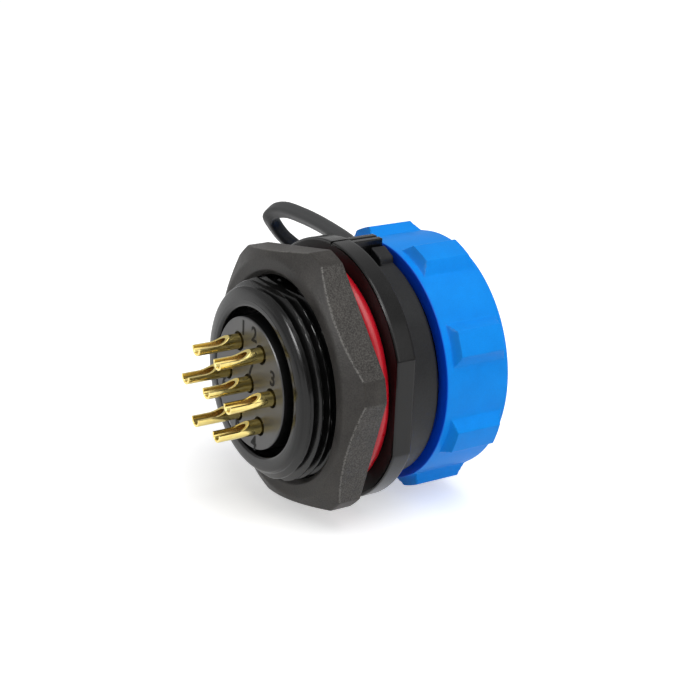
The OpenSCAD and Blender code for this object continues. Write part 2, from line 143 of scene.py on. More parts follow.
# The strap's course: the loop from its root on the ring, then the run to its end on the eye
LOOP = np.array([[0, 0, 0], [-2.1, -0.05, 0.45], [-5.5, -0.1, 0.75], [-8.0, -0.2, 0.9],
                 [-10.3, -0.35, 0.95], [-13.0, -0.65, 0.9], [-15.0, -0.9, 0.35], [-16.2, -0.9, -0.6],
                 [-16.5, -0.2, -1.7], [-16.1, 0.6, -2.9], [-15.6, 1.6, -3.9], [-15.2, 3.4, -5.3]])
RUN = np.array([[-12.0, -6.2, 5.4], [-11.5, -3.8, 4.1], [-10.2, -1.4, 2.9], [-7.6, 0.0, 1.8],
                [-4.4, 0.1, 0.8], [-2.0, 0.0, 0.2], [0, 0, 0]])
STRAP_UP = np.array([0, 0.78, 0.62])
# Painted light on the strap at three of its stations: paler up to the loop's top, where more light falls,
# none past its turn
STRAP_LIGHT_AT, STRAP_LIGHT = [0, 40, 64], [0.9, 0.9, 0.0]


# Surfaces


def radians(degrees):
    return np.radians(np.asarray(degrees, float))


def soft_min(a, b, k):
    """The lesser of a and b, with the crease between them rounded over a width of k."""
    return np.minimum(a, b) - np.maximum(k - np.abs(a - b), 0) ** 2 / (4 * k)


def soft_max(a, b, k):
    """The greater of a and b, with the crease between them rounded over a width of k."""
    return -soft_min(-a, -b, k)


# Width of the strip beside a rounded corner that keeps the face beyond it flat
HOLD = 0.05
# Largest shares of an edge that a corner's curve may take, alone and with its strip
CURVE_SHARE, HOLD_SHARE = 0.42, 0.47


def softened(corners, radii, steps=4):
    """Rounds the corners of a closed polygon, for all its columns at once, in two or three dimensions. Each
    corner becomes a quadratic curve that leaves one edge and joins the next at most radii away from the
    corner, between two more rows on the edges themselves, which keep these flat. A radius of 0 keeps the
    corner as it is."""
    corners = np.asarray(corners, float)
    radii = np.asarray(radii, float)
    wide = corners.reshape(len(corners), -1, corners.shape[-1])
    before = np.roll(wide, 1, axis=0) - wide
    after = np.roll(wide, -1, axis=0) - wide
    long_in = np.maximum(np.linalg.norm(before, axis=-1, keepdims=True), 1e-9)
    long_out = np.maximum(np.linalg.norm(after, axis=-1, keepdims=True), 1e-9)
    near_in = np.minimum(radii[:, None, None], CURVE_SHARE * long_in)
    near_out = np.minimum(radii[:, None, None], CURVE_SHARE * long_out)
    start = wide + before / long_in * near_in
    end = wide + after / long_out * near_out
    t = np.linspace(0, 1, steps)[None, :, None, None]
    curve = (1 - t) ** 2 * start[:, None] + 2 * t * (1 - t) * wide[:, None] + t ** 2 * end[:, None]
    first = wide + before / long_in * np.minimum(near_in + HOLD, HOLD_SHARE * long_in)
    last = wide + after / long_out * np.minimum(near_out + HOLD, HOLD_SHARE * long_out)
    rows = np.concatenate([first[:, None], curve, last[:, None]], axis=1)
    kept = (radii[:, None] > 0) | (np.arange(steps + 2) == 1)
    return rows[kept].reshape((-1,) + corners.shape[1:])


def around(profile, angles):
    """Turns rows of [radius, y] about the Y axis: x = r cos(angle), z = r sin(angle). A profile with one
    column is the same at every angle."""
    profile = np.asarray(profile, float)
    if profile.ndim == 2:
        profile = np.repeat(profile[:, None], len(angles), axis=1)
    r, y = profile[..., 0], profile[..., 1]
    return np.stack([r * np.cos(angles), y, r * np.sin(angles)], axis=-1)


def columns(points, angles):
    """Gives every corner of a profile one column per angle. A corner's radius or y may already be an
    array."""
    full = np.zeros(len(angles))
    return np.array([np.stack([r + full, y + full], axis=-1) for r, y in points])


def thread_rows(y, angles, crest, depth, pitch):
    """Radius of a right-handed thread on rows y and columns of angles. The phase y / pitch + angle / turn,
    less its start, is folded into a triangle wave, whose flanks run straight between a narrow crest and a
    wider root."""
    phase = (y[:, None] / pitch + angles[None, :] / (2 * math.pi) - THREAD_START) % 1
    fold = np.abs(2 * phase - 1)
    return crest - depth * np.clip((fold - CREST_SHARE) / FLANK_SHARE, 0, 1)


def wall(radius, y):
    """Rows of [radius, y] from an array of radii with rows y."""
    return np.stack([radius, np.broadcast_to(y[:, None], radius.shape)], axis=-1)


def spline(points, steps):
    """Catmull-Rom curve through points: on each span, the cubic whose end slopes are half the chord between
    the neighbours."""
    padded = np.vstack([points[:1], points, points[-1:]])
    a, b, c, d = (padded[i:len(points) - 1 + i, None] for i in range(4))
    t = np.linspace(0, 1, steps, endpoint=False)[None, :, None]
    square = 2 * a - 5 * b + 4 * c - d
    cube = 3 * b - a - 3 * c + d
    curve = 0.5 * (2 * b + (c - a) * t + square * t ** 2 + cube * t ** 3)
    return np.vstack([curve.reshape(-1, 3), points[-1:]])


def swept(path, section, up):
    """Carries a section along a path. The section's first axis is square to the path and to up, its second
    completes the frame."""
    along = np.gradient(path, axis=0)
    along /= np.linalg.norm(along, axis=1, keepdims=True)
    side = np.cross(up, along)
    side /= np.linalg.norm(side, axis=1, keepdims=True)
    top = np.cross(along, side)
    return path[:, None] + section[None, :, :1] * side[:, None] + section[None, :, 1:] * top[:, None]


def block(outline, y0, y1, edge, steps=4):
    """A prism between two stations on an outline of [x, z] points, with its end edges rounded: rows near
    each end follow a quarter circle, moved inwards along the outline's normals, and rows beside it keep the
    sides and the ends flat."""
    outline = np.asarray(outline, float)
    chord = np.roll(outline, -1, axis=0) - np.roll(outline, 1, axis=0)
    normal = np.stack([chord[:, 1], -chord[:, 0]], axis=1)
    normal /= np.linalg.norm(normal, axis=1, keepdims=True)
    centre = outline.mean(axis=0)
    normal *= np.sign(np.sum(normal * (outline - centre)))
    turn = np.linspace(0, math.pi / 2, steps)
    inset = np.concatenate([[edge + HOLD], edge * (1 - np.sin(turn)), [0]])
    inset = np.concatenate([inset, inset[::-1]])
    rise = np.concatenate([[0], edge * (1 - np.cos(turn)), [edge + HOLD]])
    y = np.concatenate([y0 + rise, y1 - rise[::-1]])
    flat = outline[None] - inset[:, None, None] * normal[None]
    return np.stack([flat[..., 0], np.broadcast_to(y[:, None], flat.shape[:2]), flat[..., 1]], axis=-1)


class Shape:
    """Gathers closed surfaces in millimetres and makes one mesh object of them."""

    def __init__(self):
        self.points = []
        self.faces = []
        self.painted_light_and_matte = []
        self.count = 0

    def grid(self, points, painted_light_and_matte=0, wrap_rows=False, close=False):
        """Adds a grid of points whose columns wrap round, with each point's mark for painted light and a
        rougher finish. Its rows wrap round too, or its first and last rows are closed by fans to their
        middle points. Faces are turned outwards by the sign of the enclosed volume, the sum of the
        tetrahedra between each face and the origin."""
        rows, cols = points.shape[:2]
        i = np.arange(rows if wrap_rows else rows - 1)[:, None]
        j = np.arange(cols)[None, :]
        a = i * cols + j
        b = i * cols + (j + 1) % cols
        c = (i + 1) % rows * cols + (j + 1) % cols
        d = (i + 1) % rows * cols + j
        faces = np.stack([a, b, c, d], axis=-1).reshape(-1, 4)
        flat = points.reshape(-1, 3)
        fans = np.zeros((0, 3), int)
        if close:
            j = np.arange(cols)
            first = np.stack([j, np.full(cols, len(flat)), (j + 1) % cols], axis=1)
            last = np.stack([j, (j + 1) % cols, np.full(cols, len(flat) + 1 - (rows - 1) * cols)], axis=1)
            fans = np.vstack([first, last + (rows - 1) * cols])
            flat = np.vstack([flat, points[0].mean(axis=0), points[-1].mean(axis=0)])
        cut = np.vstack([faces[:, :3], faces[:, [0, 2, 3]], fans])
        p, q, r = (flat[cut[:, k]] for k in range(3))
        if np.sum(p * np.cross(q, r)) < 0:
            faces, fans = faces[:, ::-1], fans[:, ::-1]
        marks_per_point = np.zeros(len(flat))
        marks_per_point[:rows * cols] = (painted_light_and_matte + np.zeros((rows, cols))).ravel()
        self.add(flat, faces.tolist() + fans.tolist(), marks_per_point)

    def add(self, points, faces, painted_light_and_matte):
        """Adds one surface after those gathered already."""
        self.points.append(points)
        self.painted_light_and_matte.append(painted_light_and_matte)
        self.faces += [[v + self.count for v in face] for face in faces]
        self.count += len(points)

    def make(self, name, finish, slot, nodes=(), sharp=32.0):
        """Makes the object at the origin, smooth except where faces meet at more than the sharp angle."""
        mesh = bpy.data.meshes.new(name)
        mesh.from_pydata((np.concatenate(self.points) * MM).tolist(), [], self.faces)
        mesh.polygons.foreach_set("use_smooth", np.ones(len(mesh.polygons), bool))
        mesh.set_sharp_from_angle(angle=math.radians(sharp))
        mesh.attributes.new("painted_light_and_matte", "FLOAT", "POINT").data.foreach_set("value", np.concatenate(self.painted_light_and_matte))
        mesh.materials.append(finish)
        piece = link(name, mesh)
        if nodes:
            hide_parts(*nodes)
        return piece


# Finishes


class Wire:
    """A node's output. Arithmetic between wires and numbers adds Math nodes to the same tree."""

    def __init__(self, tree, socket):
        self.tree = tree
        self.socket = socket

    def math(self, operation, a, b):
        return add_node(self.tree, "ShaderNodeMath", {"operation": operation}, {0: a, 1: b})

    def __add__(self, other):
        return self.math("ADD", self, other)

    def __radd__(self, other):
        return self.math("ADD", other, self)

    def __sub__(self, other):
        return self.math("SUBTRACT", self, other)

    def __rsub__(self, other):
        return self.math("SUBTRACT", other, self)

    def __mul__(self, other):
        return self.math("MULTIPLY", self, other)

    def __rmul__(self, other):
        return self.math("MULTIPLY", other, self)


def add_node(tree, kind, settings=None, inputs=None, output=0):
    """Adds a node. Settings come first, then each input from a number, a tuple or a wire."""
    node = tree.nodes.new(kind)
    for name, value in (settings or {}).items():
        setattr(node, name, value)
    for name, value in (inputs or {}).items():
        if isinstance(value, Wire):
            tree.links.new(value.socket, node.inputs[name])
        else:
            node.inputs[name].default_value = value
    return Wire(tree, node.outputs[output]) if node.outputs else None


def cleared(owner):
    """The emptied node tree of a material or a world."""
    owner.use_nodes = True
    owner.node_tree.nodes.clear()
    return owner.node_tree


def new_finish(name):
    """An empty material, its tree and the place in Object coordinates."""
    finish = bpy.data.materials.new(name)
    tree = cleared(finish)
    return finish, tree, add_node(tree, "ShaderNodeTexCoord", output="Object")


def speckle(tree, place, size, detail=2.0):
    """Noise whose blotches are about size millimetres across."""
    return add_node(tree, "ShaderNodeTexNoise", {},
                    {"Vector": place, "Scale": 1 / (size * MM), "Detail": detail, "Roughness": 0.55})


def ramp(tree, value, low, high):
    """0 below low and 1 above high, straight between."""
    return add_node(tree, "ShaderNodeMapRange", {}, {"Value": value, "From Min": low, "From Max": high})


def tint(tree, mask, dark, light):
    """Mixes two colours by a mask. The first may be a wire. A Mix node has its two colours on inputs 6
    and 7 and their mix on output 2."""
    first = dark if isinstance(dark, Wire) else (*dark, 1)
    inputs = {"Factor": mask, 6: first, 7: (*light, 1)}
    return add_node(tree, "ShaderNodeMix", {"data_type": "RGBA"}, inputs, output=2)


def bump(tree, height, strength, depth):
    """The normal of a surface whose relief is depth millimetres high."""
    return add_node(tree, "ShaderNodeBump", {},
                    {"Height": height, "Strength": strength, "Distance": depth * MM})


def painted_light_and_matte_marks(tree):
    """The mark that a mesh carries for painted light and a rougher finish, 0 where it has none."""
    return add_node(tree, "ShaderNodeAttribute", {"attribute_name": "painted_light_and_matte"}, output="Fac")


def surface(tree, colour, roughness, normal, **settings):
    """The principled surface and the material's output."""
    inputs = {"Base Color": colour, "Roughness": roughness, "Normal": normal}
    inputs.update({name.replace("_", " "): value for name, value in settings.items()})
    shader = add_node(tree, "ShaderNodeBsdfPrincipled", {}, inputs)
    add_node(tree, "ShaderNodeOutputMaterial", {}, {"Surface": shader})


def moulded(name, dark, light, rough, spread, grain, depth, edge=None, matte=0.0, **settings):
    """Moulded plastic or rubber: its colour and gloss drift over a few millimetres, and a fine spark-eroded
    grain stands out of the surface. Marked places are rougher by matte and take the edge colour, which is
    painted light: a highlight on some finishes and shade on others. It shows in specks where the mark is
    weak."""
    finish, tree, place = new_finish(name)
    drift = ramp(tree, speckle(tree, place, 2.4, 3.0), 0.3, 0.7)
    fine = speckle(tree, place, grain, 1.0)
    colour = tint(tree, drift * 0.6 + ramp(tree, fine, 0.35, 0.65) * 0.4, dark, light)
    painted_light_and_matte = painted_light_and_matte_marks(tree)
    rough_wire = rough + spread * (drift - 0.5) + matte * painted_light_and_matte
    if edge:
        colour = tint(tree, painted_light_and_matte * ramp(tree, fine + painted_light_and_matte * painted_light_and_matte, 0.4, 0.7), colour, edge)
    surface(tree, colour, rough_wire, bump(tree, fine, 0.7, depth), **settings)
    return finish


def plated(name, dark, light, bore_light_and_shade, rough):
    """Plated metal: drawing marks along the axis tint it and stand out a little, and thin patches are
    duller. Where it is marked, as in a cup's deep bore, a darker orange-brown is painted in for bounced
    light and shade, and the metal is rougher and less metallic there."""
    finish, tree, place = new_finish(name)
    stretched = add_node(tree, "ShaderNodeMapping", {}, {"Vector": place, "Scale": (1.0, 0.08, 1.0)})
    marks = ramp(tree, speckle(tree, stretched, 0.16, 2.0), 0.35, 0.7)
    patch = ramp(tree, speckle(tree, place, 0.9, 2.0), 0.5, 0.75)
    colour = tint(tree, marks * 0.6 + patch * 0.4, light, dark)
    normal = bump(tree, marks, 0.35, 0.004)
    painted_light_and_matte = painted_light_and_matte_marks(tree)
    colour = tint(tree, painted_light_and_matte, colour, bore_light_and_shade)
    surface(tree, colour, rough + 0.06 * patch + 0.2 * painted_light_and_matte, normal, Metallic=1.0 - 0.6 * painted_light_and_matte)
    return finish


shell_gloss = moulded("shell_gloss", (0.003, 0.003, 0.003), (0.006, 0.006, 0.006), rough=0.20, spread=0.06,
                      grain=0.10, depth=0.004, matte=0.3, Specular_IOR_Level=0.32)
# The insert's edge colour is painted shade, near black on its side wall
insert_satin = moulded("insert_satin", (0.044, 0.044, 0.045), (0.058, 0.058, 0.060), rough=0.35,
                       spread=0.06, grain=0.12, depth=0.002, edge=(0.003, 0.003, 0.003))
# Painted shade: black digits stand for the shade in the insert's moulded numbers
digit_shade_black = moulded("digit_shade_black", (0.003, 0.003, 0.003), (0.006, 0.006, 0.006), rough=0.60, spread=0.10,
                    grain=0.10, depth=0.004, Specular_IOR_Level=0.15)
# The nut's edge colour is a painted highlight, light grey along the bevel's outer edge
nut_matte = moulded("nut_matte", (0.022, 0.020, 0.018), (0.058, 0.053, 0.048), rough=0.50, spread=0.10,
                    grain=0.15, depth=0.040, edge=(0.34, 0.33, 0.31), Specular_IOR_Level=0.22)
seal_red = moulded("seal_red", (0.46, 0.004, 0.012), (0.58, 0.008, 0.022), rough=0.30, spread=0.10,
                   grain=0.16, depth=0.004)
# The cap's edge colour is painted shade, a deep navy on the mouth
cap_blue = moulded("cap_blue", (0.000, 0.240, 0.80), (0.000, 0.285, 0.90), rough=0.46, spread=0.06,
                   grain=0.13, depth=0.006, edge=(0.000, 0.065, 0.70), Specular_IOR_Level=0.14)
# The strap's edge colour is painted light, a paler grey on the strap's loop
strap_black = moulded("strap_black", (0.006, 0.006, 0.007), (0.013, 0.014, 0.015), rough=0.42, spread=0.10,
                      grain=0.16, depth=0.016, edge=(0.060, 0.061, 0.062), Specular_IOR_Level=0.28)
seal_black = moulded("seal_black", (0.018, 0.018, 0.019), (0.030, 0.030, 0.031), rough=0.55, spread=0.10,
                     grain=0.14, depth=0.010)
# The third colour is painted bounced light and shade, orange-brown deep in a cup's bore
gold = plated("gold", (0.60, 0.46, 0.11), (0.90, 0.74, 0.29), bore_light_and_shade=(0.50, 0.22, 0.03), rough=0.13)
spring = plated("spring", (0.40, 0.40, 0.41), (0.56, 0.56, 0.57), bore_light_and_shade=(0.30, 0.29, 0.28), rough=0.28)


# Receptacle


def flat_limit(angles, half, across):
    """Distance from the axis to a pair of flats: half / |cos| for flats square to X, half / |sin| for Z."""
    turn = np.abs(np.cos(angles) if across == "x" else np.sin(angles))
    return half / np.maximum(turn, 1e-3)


def lead_in(y):
    """Radius of the barrel's rounded end at stations y: a quarter ellipse from the end face, then a slow
    cone up to the thread's crests."""
    back = y - BARREL_END - LEAD_LONG
    curve = np.sqrt(1 - np.clip(-back / LEAD_LONG, 0, 1) ** 2)
    return LEAD_FOOT_R + LEAD_WIDE * curve + LEAD_SLOPE * np.maximum(back, 0)


def shell_surface():
    """The whole shell as one closed loop of rows: flange, neck, coupling thread, plug cavity, bore, barrel
    end and panel thread. Returned with its mark for a rougher finish, 1 on the flange's rear face."""
    edges = np.degrees(math.acos(FLANGE_FLAT / FLANGE_R)) * np.array([1, -1]) + np.array([[0], [180]])
    notch = 90 + np.degrees(NOTCH_HALF / FLANGE_R) * np.array([-1.25, -1, -0.7, 0.7, 1, 1.25])
    even = np.arange(0, 360, 1.25)
    angles = radians(np.unique(np.concatenate([even, edges.ravel() % 360, notch])))
    rim = soft_min(np.full(len(angles), FLANGE_R), flat_limit(angles, FLANGE_FLAT, "x"), 0.03)
    cut = np.abs(np.degrees(angles) - 90) < np.degrees(NOTCH_HALF / FLANGE_R) * 1.1
    rim = rim - NOTCH_DEPTH * cut
    barrel = flat_limit(angles, BARREL_FLAT, "z")
    flange = columns([(THREAD_R, 0), (rim, 0), (rim, FLANGE_T), (NECK_R, FLANGE_T), (NECK_R, COUPLING_REAR),
                      (COUPLING_R - COUPLING_DEPTH, COUPLING_REAR)], angles)
    flange = softened(flange, [0, FLANGE_EDGE, FLANGE_EDGE, 0.1, 0.1, 0])
    y = np.linspace(COUPLING_REAR + 0.15, FRONT - 0.9, 36)
    coupling = wall(thread_rows(y, angles, COUPLING_R, COUPLING_DEPTH, COUPLING_PITCH), y)
    inside = columns([(COUPLING_R - 0.4, FRONT - 0.6), (COUPLING_R - 0.8, FRONT), (CAVITY_R, FRONT),
                      (CAVITY_R, CAVITY), (OPENING_R, CAVITY), (OPENING_R, SHOULDER), (BORE_R, SHOULDER),
                      (BORE_R, GROOVE_FRONT), (GROOVE_R, GROOVE_FRONT), (GROOVE_R, GROOVE_REAR),
                      (BORE_R, GROOVE_REAR), (BORE_R, BARREL_END + BORE_EDGE),
                      (BORE_R + BORE_EDGE, BARREL_END), (LEAD_FOOT_R, BARREL_END)], angles)
    inside = softened(inside, [0, 0.15, 0.2, 0.1, 0.1, 0.1, 0.1, 0.05, 0.05, 0.05, 0.05, 0.2, 0.2, 0])
    y = np.concatenate([BARREL_END + LEAD_LONG * (1 - np.cos(radians(np.linspace(5, 45, 9)))),
                        np.linspace(BARREL_END + 0.3 * LEAD_LONG + 0.02, NUT_REAR + 0.3, 110),
                        np.linspace(NUT_REAR + 0.36, -0.1, 56)])
    full = (y - BARREL_END - LEAD_LONG)[:, None] / RUN_OUT + FADE * np.sin(angles)
    full = np.clip(full, SHALLOW, 1)
    crest = soft_min(np.full(len(y), THREAD_R), lead_in(y), 0.06)[:, None]
    turns = thread_rows(y, angles, crest, THREAD_DEPTH * full, THREAD_PITCH)
    panel = wall(np.minimum(turns, barrel), y)
    rows = np.concatenate([flange, coupling, inside, panel])
    return around(rows, angles), (np.arange(len(rows)) < 2)[:, None]


def bar_outline(x0, x1, z0, z1, radius):
    """Four [x, z] corners, of which the two at z1 are rounded."""
    return softened([(x0, z0), (x1, z0), (x1, z1), (x0, z1)], [0, 0, radius, radius], 5)


shell = Shape()
shell.grid(*shell_surface(), wrap_rows=True)
for x0, x1 in ((-BAR_OUT, -BAR_IN), (BAR_IN, BAR_OUT)):
    bar = bar_outline(x0, x1, BAR_FOOT, BAR_TOP, 0.13)
    shell.grid(block(bar, FLANGE_T - FLANGE_EDGE, RING_FRONT, 0.14), close=True)
key = bar_outline(-KEY_HALF, KEY_HALF, CAVITY_R + 0.1, CAVITY_R - KEY_HEIGHT, 0.15)
shell.grid(block(key, CAVITY - 0.1, CAVITY + 0.8 * (FRONT - COUPLING_REAR), 0.1), close=True)
shell = shell.make("shell", shell_gloss, "shell_plastic", ["receptacle_shell"])
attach(shell, "receptacle")


# Contacts


def wall_columns(r):
    """Bearings round a cup's wall of radius r and the rim's station on each. Below the scoop's level the
    rim is the cup's tip. Above it the rim is where the scoop's parabola has climbed to the wall's height
    r sin(e): start + length * sqrt((height - level) / (top - level)). Both groups meet at
    asin(level / r)."""
    edge = math.asin(SCOOP_LEVEL / r)
    low = np.linspace(-math.pi / 2, edge, 13)
    high = np.linspace(edge + 0.005, math.pi / 2, 15)
    climb = np.sqrt((r * np.sin(high) - SCOOP_LEVEL) / (SCOOP_TOP - SCOOP_LEVEL))
    bearing = np.concatenate([low, high])
    rim = np.concatenate([np.full(13, CUP_TIP), CLIMB_START + CLIMB_LENGTH * climb])
    return np.concatenate([bearing, math.pi - bearing[-2:0:-1]]), np.concatenate([rim, rim[-2:0:-1]])


def contact_surface(x, z):
    """A contact as one closed surface about its own axis. Each column runs from the cup's floor out along
    its bore, over the scoop's rim, forward along the outside and the collar, and over the pin's nose."""
    inside, inner_rim = wall_columns(CUP_BORE_R)
    outside, outer_rim = wall_columns(CUP_R)
    nose = radians(np.linspace(0, 82, 8))
    rows = [(0.02, CUP_FLOOR, inside), (CUP_BORE_R, CUP_FLOOR, inside), (CUP_BORE_R, inner_rim, inside),
            (CUP_R, outer_rim, outside), (CUP_R, SPLIT, outside), (COLLAR_R, SPLIT, outside),
            (COLLAR_R, COLLAR_FRONT, outside), (PIN_R, COLLAR_FRONT, outside)]
    rows += [(PIN_R * math.cos(t), PIN_TIP - PIN_R + PIN_R * math.sin(t), outside) for t in nose]
    corners = [around([np.stack([np.full(len(a), r), y + 0 * a], axis=-1)], a)[0] for r, y, a in rows]
    radii = [0, 0.1, 0.035, 0.035, 0, 0.05, 0.05, 0] + [0] * len(nose)
    return softened(corners, radii, 3) + np.array([x, 0, z])


# Rows of the cup's floor and of the rounded corner round it
FLOOR_ROWS = 6

for number in range(1, 8):
    bearing = math.radians(120 - 60 * (number - 1))
    arm = 0 if number == 7 else PITCH_R
    contact = Shape()
    points = contact_surface(arm * math.cos(bearing), arm * math.sin(bearing))
    # Painted bounced light and shade on the cup's floor and the rounded corner round it
    bore = (np.arange(len(points)) < FLOOR_ROWS)[:, None]
    contact.grid(points, bore, close=True)
    contact = contact.make(f"solder_contact_{number}", gold, "gold_contact", [f"contact_{number}"], 48.0)
    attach(contact, "receptacle")


# Contact numbers, upright as seen from the solder side

NUMBER_PLACES = {"1": (-1.34, 5.58), "2": (0.84, 5.55), "3": (4.6, 2.15), "4": (1.2, -6.0),
                 "5": (-2.2, -5.7), "6": (-5.0, -1.7), "7": (0.32, 1.62)}
DIGIT_SIZE, DIGIT_RISE, DIGIT_BOLD = 2.2, 0.02, 0.05


def number_points(digit, x, z):
    """A digit from a text curve made a mesh, centred on its place, its faces towards -Y: text x becomes x,
    text y becomes z and its height goes back into the insert."""
    curve = bpy.data.curves.new("digit", "FONT")
    curve.body = digit
    curve.size = DIGIT_SIZE
    curve.extrude = DIGIT_RISE
    curve.offset = DIGIT_BOLD
    curve.resolution_u = 6
    text = link("digit", curve)
    bpy.context.view_layer.update()
    mesh = bpy.data.meshes.new_from_object(text.evaluated_get(bpy.context.evaluated_depsgraph_get()))
    flat = np.zeros(len(mesh.vertices) * 3)
    mesh.vertices.foreach_get("co", flat)
    flat = flat.reshape(-1, 3)
    middle = (flat.min(axis=0) + flat.max(axis=0)) / 2
    flat = flat - middle
    faces = [list(face.vertices) for face in mesh.polygons]
    bpy.data.objects.remove(text)
    bpy.data.meshes.remove(mesh)
    return np.stack([flat[:, 0] + x, INSERT_FACE - flat[:, 2], flat[:, 1] + z], axis=1), faces


# The digits are black, painted shade for moulded numbers
numbers = Shape()
for digit, (x, z) in NUMBER_PLACES.items():
    points, faces = number_points(digit, x, z)
    numbers.add(points, faces, np.zeros(len(points)))
numbers = numbers.make("contact_numbers", digit_shade_black, "insert_plastic")
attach(numbers, "receptacle")


# Nut and seal


def nut_surface():
    """A hexagon whose side lies at half-width / cos(angle from the flat), held in by the turned corners.
    The bevel rises from the face at its angle until it meets that side. Returned with its painted
    highlight, a light colour that is strongest on the bevel's outer edge and faint on the flats."""
    angles = radians(np.arange(0, 360, 0.5))
    off = (np.degrees(angles) - NUT_TURN) % 60 - 30
    side = soft_min(NUT_HALF_AF / np.cos(np.radians(off)), np.full(len(angles), NUT_CORNER_R), 0.03)
    rise = NUT_REAR + (side - NUT_FACE_R) * math.tan(math.radians(NUT_BEVEL))
    corners = columns([(NUT_HOLE_R + NUT_CHAMFER, NUT_REAR), (NUT_FACE_R, NUT_REAR), (side, rise),
                       (side, NUT_FRONT), (NUT_HOLE_R + NUT_CHAMFER, NUT_FRONT),
                       (NUT_HOLE_R, NUT_FRONT - NUT_CHAMFER), (NUT_HOLE_R, NUT_REAR + NUT_CHAMFER)], angles)
    flat = np.abs(off) < np.degrees(math.acos(NUT_HALF_AF / NUT_CORNER_R))
    rows = softened(corners, [0.12, 0.25, 0.16, 0.12, 0.1, 0.1, 0.1], 5)
    # Painted highlight along the bevel's outer edge, fainter on the flats
    painted_light_and_matte = np.zeros(rows.shape[:2])
    painted_light_and_matte[NUT_HIGHLIGHT_ROW:NUT_HIGHLIGHT_ROW + len(NUT_HIGHLIGHT)] = NUT_HIGHLIGHT[:, None] * flat
    return around(rows, angles), painted_light_and_matte


nut = Shape()
nut.grid(*nut_surface(), wrap_rows=True)
nut = nut.make("panel_nut", nut_matte, "nut_plastic", ["hex_nut"])
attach(nut, "nut")

seal_turn = radians(np.arange(0, 360, 9))
seal_section = np.stack([SEAL_R + SEAL_HALF * np.cos(seal_turn),
                         SEAL_Y + SEAL_HALF * np.sin(seal_turn)], axis=1)
seal = Shape()
seal.grid(around(seal_section, radians(np.arange(0, 360, 2))), wrap_rows=True)
seal = seal.make("round_seal", seal_red, "red_silicone", ["panel_seal"])
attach(seal, "receptacle")


# Cap


def cap_surface():
    """The cap as rows from its floor inside, out over the mouth, along the wall with its lugs and over the
    front to the lipped spigot. A lug is the lesser of its trapezoid across the axis and its outline along
    it, and the wall is the greater of lug and cylinder, with all creases rounded. Returned with its painted
    shade, which darkens the mouth and fades where radius plus station pass those of its outer edge."""
    top_edge = math.degrees(math.atan(LUG_TOP_HALF / LUG_R))
    root_edge = math.degrees(math.asin(LUG_ROOT_HALF / CAP_R))
    half = np.concatenate([[0, 2, 4], top_edge + 0.15 * np.arange(-4, 5), [(top_edge + root_edge) / 2],
                           root_edge + 0.22 * np.arange(-4, 5), [12, 14, 16, 18, 20, 22.5]])
    one_lug = np.concatenate([-half[-2:0:-1], half])
    angles = radians(np.sort((LUG_TURN + 45 * np.arange(8)[:, None] + one_lug[None, :]).ravel() % 360))
    off = np.radians(np.abs((np.degrees(angles) - LUG_TURN + 22.5) % 45 - 22.5))
    slope = (LUG_R - CAP_R) / (LUG_ROOT_HALF - LUG_TOP_HALF)
    across = (LUG_R + slope * LUG_TOP_HALF) / (np.cos(off) + slope * np.sin(off))
    across = soft_min(across, np.full(len(angles), LUG_R), LUG_EDGE)
    y = np.concatenate([np.linspace(CAP_REAR + 0.3, LUG_REAR - 0.12, 6),
                        np.linspace(LUG_REAR - 0.1, LUG_REAR + 0.7, 22),
                        np.linspace(LUG_REAR + 0.8, LUG_FRONT - LUG_RAMP - 0.2, 8),
                        np.linspace(LUG_FRONT - LUG_RAMP - 0.1, LUG_FRONT + 0.15, 18)])
    along = np.interp(y, [0, LUG_REAR - 0.01, LUG_REAR, LUG_REAR + LUG_REAR_RAMP, LUG_FRONT - LUG_RAMP,
                          LUG_FRONT, 20],
                      [CAP_R - 0.6, CAP_R - 0.6, CAP_R, LUG_R, LUG_R, CAP_R, CAP_R - 2])
    along = soft_min(along, LUG_R, LUG_EDGE)
    lugs = soft_min(across[None, :], along[:, None], LUG_EDGE)
    outer = wall(soft_max(lugs, np.full_like(lugs, CAP_R), LUG_CREASE), y)
    turns = np.linspace(CAP_FLOOR - 0.9, CAP_REAR + MOUTH_DEPTH + 0.3, 40)
    inner = wall(2 * CAP_IN_R - thread_rows(turns, angles, CAP_IN_R, 0.45, COUPLING_PITCH), turns)
    floor = columns([(0.05, CAP_FLOOR), (CAP_IN_R, CAP_FLOOR), (CAP_IN_R, CAP_FLOOR - 0.7)], angles)
    floor = softened(floor, [0, 0.2, 0])
    mouth = columns([(CAP_IN_R, CAP_REAR + MOUTH_DEPTH), (CAP_R - MOUTH_RIM, CAP_REAR), (CAP_R, CAP_REAR),
                     (CAP_R, CAP_REAR + 0.25)], angles)
    mouth = softened(mouth, [0, 0.12, 0.2, 0], 5)
    front = columns([(CAP_R - 0.04, CAP_FRONT - 0.9), (CAP_R - 0.04, CAP_FRONT), (SPIGOT_R, CAP_FRONT),
                     (SPIGOT_R, LIP_REAR), (LIP_R, LIP_REAR), (LIP_R, LIP_FRONT), (0.05, LIP_FRONT)],
                    angles)
    front = softened(front, [0, CAP_ROUND, 0.15, 0.1, 0.2, 0.35, 0], 7)
    # Painted shade: full on the mouth, fading over its outer edge onto the wall
    past_edge = mouth[:, 0].sum(axis=1) - CAP_R - CAP_REAR
    shade = np.interp(past_edge, [-0.1, 0.25], [1, 0])
    painted_light_and_matte = np.concatenate([np.zeros(len(floor) + len(inner)), shade, np.zeros(len(outer) + len(front))])
    return around(np.concatenate([floor, inner, mouth, outer, front]), angles), painted_light_and_matte[:, None]


cap = Shape()
cap.grid(*cap_surface(), close=True)
cap = cap.make("screw_cap", cap_blue, "blue_plastic", ["cap"], 28.0)
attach(cap, "cap")


# Lanyard


